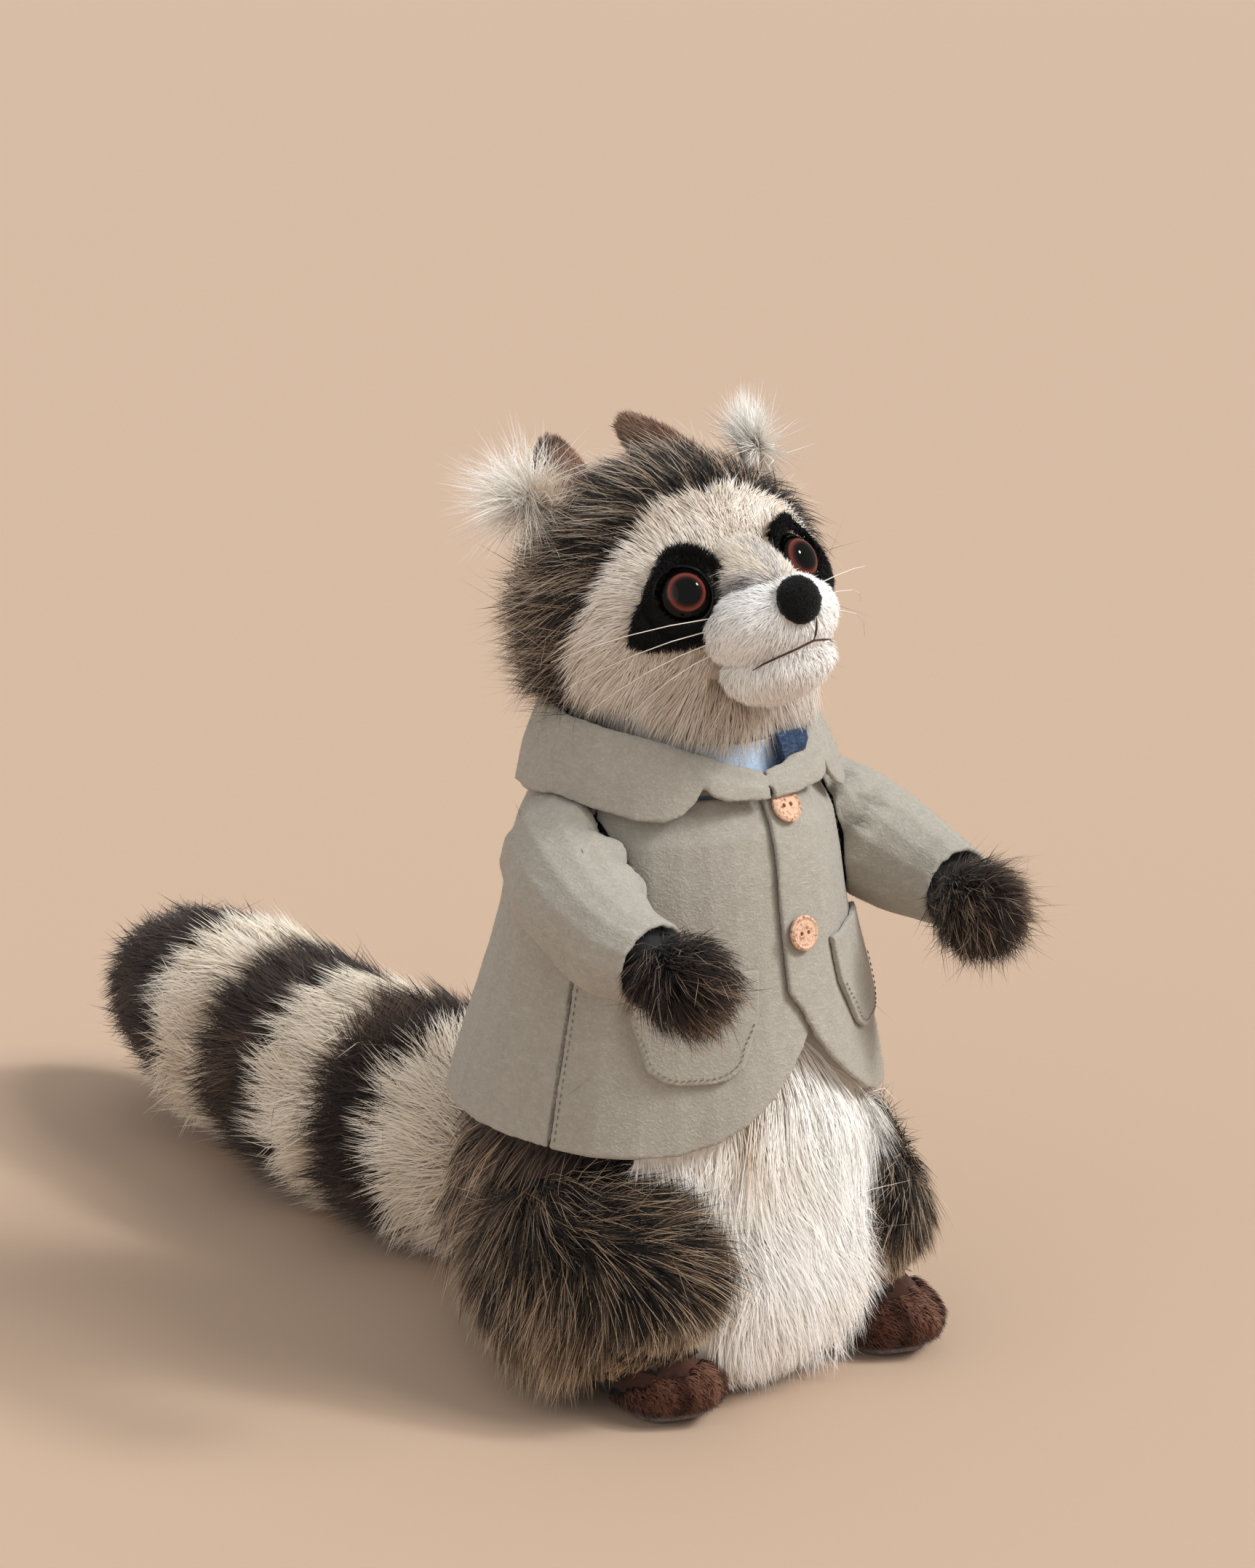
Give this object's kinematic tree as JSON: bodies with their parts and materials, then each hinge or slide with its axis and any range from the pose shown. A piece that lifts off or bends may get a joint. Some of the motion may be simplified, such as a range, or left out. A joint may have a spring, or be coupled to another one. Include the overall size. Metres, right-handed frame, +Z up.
{
  "type": "plush raccoon",
  "caption": "Stuffed raccoon sitting up, with a long ringed tail, raised paws and a felt jacket with a folded collar, lapels, pockets and buttons.",
  "frame": {"origin": "on the floor plane, under the middle of the body, on the flat base of the body", "axes": "+Z up; the raccoon's body faces -Y, its tail runs towards +Y, and its left side is at +X"},
  "size_m": [0.178, 0.4686, 0.3339],
  "materials": {
    "grizzled_fur": "long grizzled plush fur, dark at the root and light at the tip",
    "white_fur": "long white plush fur",
    "cream_fur": "cream and beige plush fur with brown flecks",
    "dark_fur": "near-black brown plush fur",
    "foot_plush": "short reddish-brown plush",
    "sole_satin": "grey satin",
    "mask_plush": "short black plush",
    "nose_flock": "matte black flock",
    "eye_glass": "glossy dome over a painted iris",
    "rim_plastic": "smooth grey-black",
    "jacket_felt": "thick wool felt with cut edges",
    "shirt_cotton": "fine light blue twill",
    "tie_cotton": "dark blue woven cloth",
    "button_cork": "matte, speckled",
    "whisker_nylon": "clear nylon line"
  },
  "bodies": {
    "root": {"body": "grizzled_fur", "belly_panel": "white_fur", "foot_right": "foot_plush", "foot_left": "foot_plush", "sole_right": "sole_satin", "sole_left": "sole_satin", "haunch_right": "grizzled_fur", "haunch_left": "grizzled_fur", "tail_ring_1": "cream_fur", "tail_ring_2": "dark_fur", "tail_ring_3": "cream_fur", "tail_ring_4": "dark_fur", "tail_ring_5": "cream_fur", "tail_ring_6": "dark_fur", "face": "cream_fur", "hood": "grizzled_fur", "eye_right": "eye_glass", "eye_left": "eye_glass", "eye_rim_right": "rim_plastic", "eye_rim_left": "rim_plastic", "muzzle": "white_fur", "nose": "nose_flock", "chin": "white_fur", "nose_bridge": "white_fur", "eye_patch_right": "mask_plush", "eye_patch_left": "mask_plush", "ear_right": "foot_plush", "ear_left": "foot_plush", "ear_lining_right": "cream_fur", "ear_lining_left": "cream_fur", "ear_tuft_right": "white_fur", "ear_tuft_left": "white_fur", "arm_right": "dark_fur", "arm_left": "dark_fur", "jacket_back": "jacket_felt", "jacket_front_right": "jacket_felt", "jacket_front_left": "jacket_felt", "sleeve_right": "jacket_felt", "sleeve_left": "jacket_felt", "collar": "jacket_felt", "shirt_front": "shirt_cotton", "tie": "tie_cotton", "pocket_right": "jacket_felt", "pocket_left": "jacket_felt", "button_upper": "button_cork", "button_lower": "button_cork", "whisker_right_1": "whisker_nylon", "whisker_right_2": "whisker_nylon", "whisker_right_3": "whisker_nylon", "whisker_right_4": "whisker_nylon", "whisker_left_1": "whisker_nylon", "whisker_left_2": "whisker_nylon", "whisker_left_3": "whisker_nylon"}
  },
  "joints": []
}
